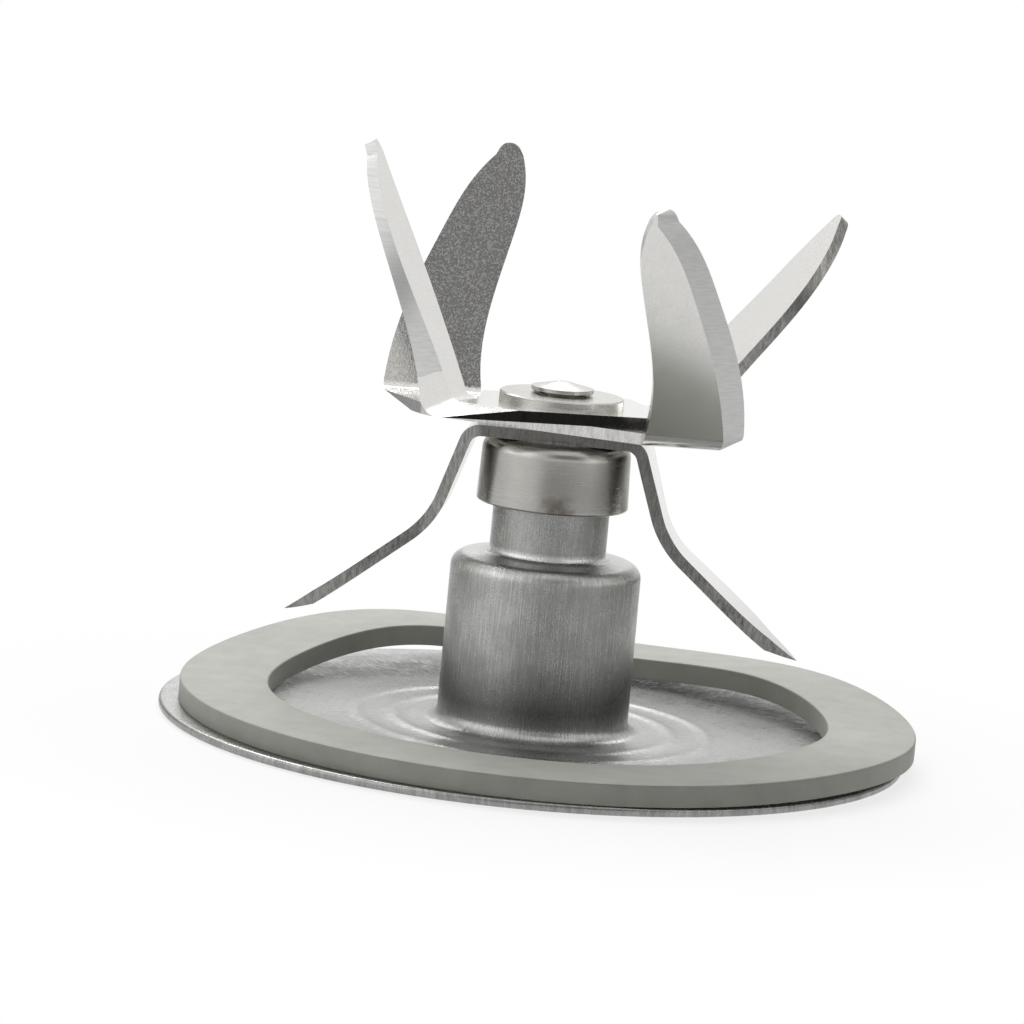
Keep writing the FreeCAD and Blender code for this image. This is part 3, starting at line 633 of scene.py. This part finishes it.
def ease_edges(piece, width):
    """Stamped edges are never knife sharp: a fine highlight runs along them."""
    bevel = piece.modifiers.new("eased_edges", "BEVEL")
    bevel.width = width * MM
    bevel.segments = 2
    bevel.limit_method = "ANGLE"
    bevel.angle_limit = math.radians(35)
    bevel.harden_normals = True


def grind_tips(mesh):
    """Grinds the underside of both tips of the lower blade, so that each ends in a thin edge."""
    for side in (-1, 1):
        reach = max(point.co.x * side for point in mesh.verts)
        end = [point.co for point in mesh.verts if point.co.x * side > reach - TIP_END * MM]
        tip = max(end, key=lambda place: place.z)
        down = Vector((-side * TIP_SLOPE, 0, -1)).normalized()
        arm = [face for face in mesh.faces if all(point.co.x * side > 0 for point in face.verts)]
        edges = {edge for face in arm for edge in face.edges}
        points = {point for face in arm for point in face.verts}
        cut = bmesh.ops.bisect_plane(mesh, geom=[*arm, *edges, *points], plane_co=tip, plane_no=down,
                                     clear_outer=True)
        rim = [part for part in cut["geom_cut"] if isinstance(part, bmesh.types.BMEdge)]
        bmesh.ops.edgenet_fill(mesh, edges=rim)


def wing_faces(mesh, side, split):
    """Faces of the wing on one side of the blade; split points from the left to the right one."""
    found = []
    for face in mesh.faces:
        middle = face.calc_center_median()
        if middle.z > WING_FOOT * MM and middle.dot(split) * side > 0:
            found.append(face)
    return found


def slim_tip(mesh, side, split, along, rounding):
    """Gives one wing a plain round tip, no wider than the wing at the foot of the rounding."""
    faces = wing_faces(mesh, side, split)
    out = max(faces, key=lambda face: face.calc_area()).normal.copy()
    up = (Vector((0, 0, 1)) - out * out.z).normalized()
    points = {point for face in faces for point in face.verts}
    crown = max(point.co.dot(up) for point in points)
    near = min(point.co.dot(out) for point in points)
    far = max(point.co.dot(out) for point in points)

    def depth(point):
        return crown - point.co.dot(up)

    def level(point):
        return (point.co.dot(out) - near) / (far - near)

    ends = []
    for face_level in (0, 1):
        foot = [point.co.dot(along) for point in points
                if abs(level(point) - face_level) < 0.01
                and abs(depth(point) - rounding) < FOOT_MARGIN * MM]
        ends.append((min(foot), max(foot)))
    for point in points:
        if not 0 < depth(point) < rounding - FOOT_MARGIN * MM:
            continue
        low, high = (a + (b - a) * level(point) for a, b in zip(*ends))
        middle = (low + high) / 2
        half = (high - low) / 2
        radius = (half ** 2 + rounding ** 2) / (2 * rounding)
        down = depth(point)
        round_half = half * (down / rounding) ** TIP_ROUNDNESS
        wide_half = math.sqrt(max(2 * radius * down - down ** 2, 1e-12))
        offset = point.co.dot(along) - middle
        point.co += along * (offset * round_half / wide_half - offset)


def slim_wings(mesh, split, bends, roundings):
    """Slims the left and the right wing of one blade."""
    for side, bend, rounding in zip((-1, 1), bends, roundings):
        slim_tip(mesh, side, split, Vector(direction(bend)), rounding * MM)


def shape_middle(mesh):
    slim_wings(mesh, Vector(direction(MIDDLE_BEND - 90)), (MIDDLE_BEND, MIDDLE_BEND), MIDDLE_TIPS)


def shape_upper(mesh):
    slim_wings(mesh, Vector((1, 0, 0)), UPPER_BENDS, UPPER_TIPS)


def dress_blade(name, shape, bends, *finish):
    """Copies a blade's solid, shapes the copy and gives it its finish."""
    mesh = bmesh.new()
    mesh.from_mesh(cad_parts[name].data)
    shape(mesh)
    blade = add_object(name + "_ground", bpy.data.meshes.new(name + "_ground"))
    mesh.to_mesh(blade.data)
    mesh.free()
    left_side, right_side = (direction(bend) for bend in bends)
    blade.data.materials.append(blade_material(name + "_steel", left_side, right_side, *finish))
    shade(blade, 30)
    ease_edges(blade, EASED_EDGE)
    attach(blade, "rotor")
    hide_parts(name)


# shear of the flat part and of the wings, whether the left wing's edge is sheared, and the mottling
# the lower blade's sheared edges are darkened as painted reflection
dress_blade("lower_blade", grind_tips, (LOWER_BEND, LOWER_BEND), SHEAR_WITH_PAINTED_REFLECTION, SHEAR_WITH_PAINTED_REFLECTION, 1, 0.3)
dress_blade("middle_blade", shape_middle, (MIDDLE_BEND, MIDDLE_BEND), PALE_SHEAR, PALE_SHEAR, 1, 1.7)
# the upper blade's flat edges get the painted shadow colour
dress_blade("upper_blade", shape_upper, UPPER_BENDS, PAINTED_SHADOW_SHEAR, SHEAR_WITH_PAINTED_REFLECTION, 0, 0.3)


# Washer punched from steel strip, under the peened head of the spindle. The head, hammered
# down on it, clamps it and the three blades to the spindle.
finish_node("clamp_washer", TURNED_STEEL)


# Studio: a pale floor, soft lights on the left, on the right, behind and above, a dim card over
# the camera and a low band standing round the object, both seen only by its polish. Nothing here
# is part of the object.
FLOOR_HALF = 3.0
FLOOR_DROP = 0.00005
FLOOR_GREY = 0.93
SHADOW_START = 0.034
SHADOW_END = 0.06
SHADOW_FADE = 0.78
PLAIN_LEVEL = 0.12
CAMERA_PLACE = Vector((0.0, -0.43430, 0.08698))
CAMERA_PITCH = math.radians(8.840)
CAMERA_YAW = math.radians(-0.4518)
CAMERA_ROLL = math.radians(5.269)
CAMERA_LENS = 175.68
CAMERA_SENSOR = 36.0
AIM_HEIGHT = 0.025
CARD_DISTANCE = 1.4
CARD_STEPS = 12
BAND_RADIUS = 0.11
BAND_HEIGHT = 0.025
BAND_STEPS = 96
BAND_STRENGTH = 2.0
# azimuth in degrees from the camera, positive to its right, and the glow there
BAND_LEVELS = (
    (-180, 1.0), (-162, 1.4), (-150, 0.8), (-136, 0.10), (-120, 0.25), (-106, 0.9), (-80, 0.9), (-60, 1.2),
    (-42, 1.0), (-27, 0.95), (-16, 0.3), (-8, 0.12), (8, 0.12), (25, 0.24), (42, 0.40), (60, 0.34),
    (80, 0.15), (104, 0.04), (136, 0.04), (150, 0.6), (162, 1.1), (180, 1.0),
)


def stage_material(name):
    """Empty material for a piece of the studio; returns it and its tree."""
    material = bpy.data.materials.new(name)
    material.use_nodes = True
    material.node_tree.nodes.clear()
    return material, material.node_tree


def emission(tree, color, strength):
    return node(tree, "ShaderNodeEmission", {"Color": color, "Strength": strength}).outputs[0]


def seen_share(tree):
    """1 for what the camera, gloss and glass see, 0 for what lights the object."""
    ray = node(tree, "ShaderNodeLightPath").outputs
    seen = math_node(tree, "ADD", ray["Is Camera Ray"], ray["Is Glossy Ray"])
    return math_node(tree, "ADD", seen, ray["Is Transmission Ray"])


def add_floor():
    """White all round, and a plain pale floor near the object that keeps its shadow."""
    mesh = bpy.data.meshes.new("floor")
    corners = [(-FLOOR_HALF, -FLOOR_HALF, 0), (FLOOR_HALF, -FLOOR_HALF, 0),
               (FLOOR_HALF, FLOOR_HALF, 0), (-FLOOR_HALF, FLOOR_HALF, 0)]
    mesh.from_pydata(corners, [], [(0, 1, 2, 3)])
    floor = add_object("floor", mesh)
    floor.location.z = -FLOOR_DROP
    material, tree = stage_material("pale_floor")
    place = node(tree, "ShaderNodeTexCoord").outputs["Object"]
    fade = remap(tree, vector_node(tree, "LENGTH", place), SHADOW_FADE, 1.0,
                 low=SHADOW_START, high=SHADOW_END)
    matt = node(tree, "ShaderNodeBsdfDiffuse", {"Color": (FLOOR_GREY, FLOOR_GREY, FLOOR_GREY, 1)}).outputs[0]
    white = emission(tree, (1, 1, 1, 1), 1.0)
    share = math_node(tree, "MULTIPLY", fade, seen_share(tree))
    mixed = node(tree, "ShaderNodeMixShader", {0: share, 1: matt, 2: white}).outputs[0]
    node(tree, "ShaderNodeOutputMaterial", {"Surface": mixed})
    mesh.materials.append(material)


def add_softbox(name, azimuth, elevation, distance, width, height, power):
    """Area light aimed at the object. Azimuth 0 is at the camera, positive to its right."""
    lamp = bpy.data.lights.new(name, "AREA")
    lamp.shape = "RECTANGLE"
    lamp.size = width
    lamp.size_y = height
    lamp.energy = power
    turn = math.radians(azimuth)
    rise = math.radians(elevation)
    way = Vector((math.sin(turn) * math.cos(rise), -math.cos(turn) * math.cos(rise), math.sin(rise)))
    box = add_object(name, lamp)
    box.location = way * distance + Vector((0, 0, AIM_HEIGHT))
    box.rotation_euler = way.to_track_quat("Z", "Y").to_euler()


def add_reflector(name, points, faces):
    """Upright sheet round the object that only its polish shows; returns it and its tree."""
    mesh = bpy.data.meshes.new(name)
    mesh.from_pydata(points, [], faces)
    reflector = add_object(name, mesh)
    reflector.visible_camera = False
    reflector.visible_diffuse = False
    reflector.visible_shadow = False
    material, tree = stage_material(name)
    mesh.materials.append(material)
    return reflector, tree


def upright_points(radius, turn, levels):
    """Points above each other, at one azimuth round the object."""
    return [(radius * math.sin(turn), -radius * math.cos(turn), level) for level in levels]


def add_card(name, start, end, low, high, grey):
    """Curved upright card of an even grey glow, from one azimuth to another."""
    points = []
    for step in range(CARD_STEPS + 1):
        turn = math.radians(start + (end - start) * step / CARD_STEPS)
        points += upright_points(CARD_DISTANCE, turn, (low, high))
    faces = [(2 * step, 2 * step + 2, 2 * step + 3, 2 * step + 1) for step in range(CARD_STEPS)]
    card, tree = add_reflector(name, points, faces)
    glow = emission(tree, (grey, grey, grey, 1), 1.0)
    node(tree, "ShaderNodeOutputMaterial", {"Surface": glow})


def add_band():
    """Low reflector band all round: its glow changes with the azimuth by BAND_LEVELS."""
    points = []
    for step in range(BAND_STEPS):
        points += upright_points(BAND_RADIUS, 2 * math.pi * step / BAND_STEPS, (0.0, BAND_HEIGHT))
    count = 2 * BAND_STEPS
    faces = [(2 * step, (2 * step + 2) % count, (2 * step + 3) % count, 2 * step + 1)
             for step in range(BAND_STEPS)]
    band, tree = add_reflector("band", points, faces)
    parts = split_axes(tree, node(tree, "ShaderNodeTexCoord").outputs["Object"])
    angle = math_node(tree, "ARCTAN2", parts["X"], math_node(tree, "MULTIPLY", parts["Y"], -1.0))
    share = remap(tree, angle, 0.0, 1.0, low=-math.pi, high=math.pi)
    levels = grey_ramp(tree, share, [((degrees + 180) / 360, level / BAND_STRENGTH)
                                     for degrees, level in BAND_LEVELS])
    glow = emission(tree, levels, BAND_STRENGTH)
    node(tree, "ShaderNodeOutputMaterial", {"Surface": glow})


def light_world():
    """White for what the camera and the gloss see, a plain level for the rest."""
    world = bpy.data.worlds.new("studio")
    bpy.context.scene.world = world
    world.use_nodes = True
    tree = world.node_tree
    tree.nodes.clear()
    strength = remap(tree, seen_share(tree), PLAIN_LEVEL, 1.0)
    shown = node(tree, "ShaderNodeBackground", {"Color": (1, 1, 1, 1), "Strength": strength}).outputs[0]
    node(tree, "ShaderNodeOutputWorld", {"Surface": shown})


def add_camera():
    """Camera at the photograph's place, tilted and rolled as the photograph is."""
    ahead = Vector((math.sin(CAMERA_YAW) * math.cos(CAMERA_PITCH),
                    math.cos(CAMERA_YAW) * math.cos(CAMERA_PITCH), -math.sin(CAMERA_PITCH)))
    level = Vector((math.cos(CAMERA_YAW), -math.sin(CAMERA_YAW), 0))
    upright = level.cross(ahead)
    right = level * math.cos(CAMERA_ROLL) + upright * math.sin(CAMERA_ROLL)
    up = upright * math.cos(CAMERA_ROLL) - level * math.sin(CAMERA_ROLL)
    lens = bpy.data.cameras.new("camera")
    lens.lens = CAMERA_LENS
    lens.sensor_width = CAMERA_SENSOR
    lens.clip_start = 0.01
    lens.clip_end = 20.0
    camera = add_object("camera", lens)
    turned_to = Matrix((right, up, -ahead)).transposed().to_4x4()
    camera.matrix_world = Matrix.Translation(CAMERA_PLACE) @ turned_to
    bpy.context.scene.camera = camera


add_floor()
add_card("camera_card", start=-12, end=48, low=0.5, high=1.7, grey=0.2)
add_band()
add_softbox("left_softbox", azimuth=-62, elevation=25, distance=1.3, width=1.1, height=0.8, power=2.5)
add_softbox("right_softbox", azimuth=60, elevation=18, distance=1.3, width=0.35, height=0.7, power=0.6)
add_softbox("back_softbox", azimuth=-150, elevation=50, distance=0.55, width=0.35, height=0.3, power=1.5)
add_softbox("top_softbox", azimuth=172, elevation=55, distance=1.2, width=0.8, height=0.8, power=9.0)
light_world()
add_camera()
bpy.context.scene.view_settings.view_transform = "Standard"
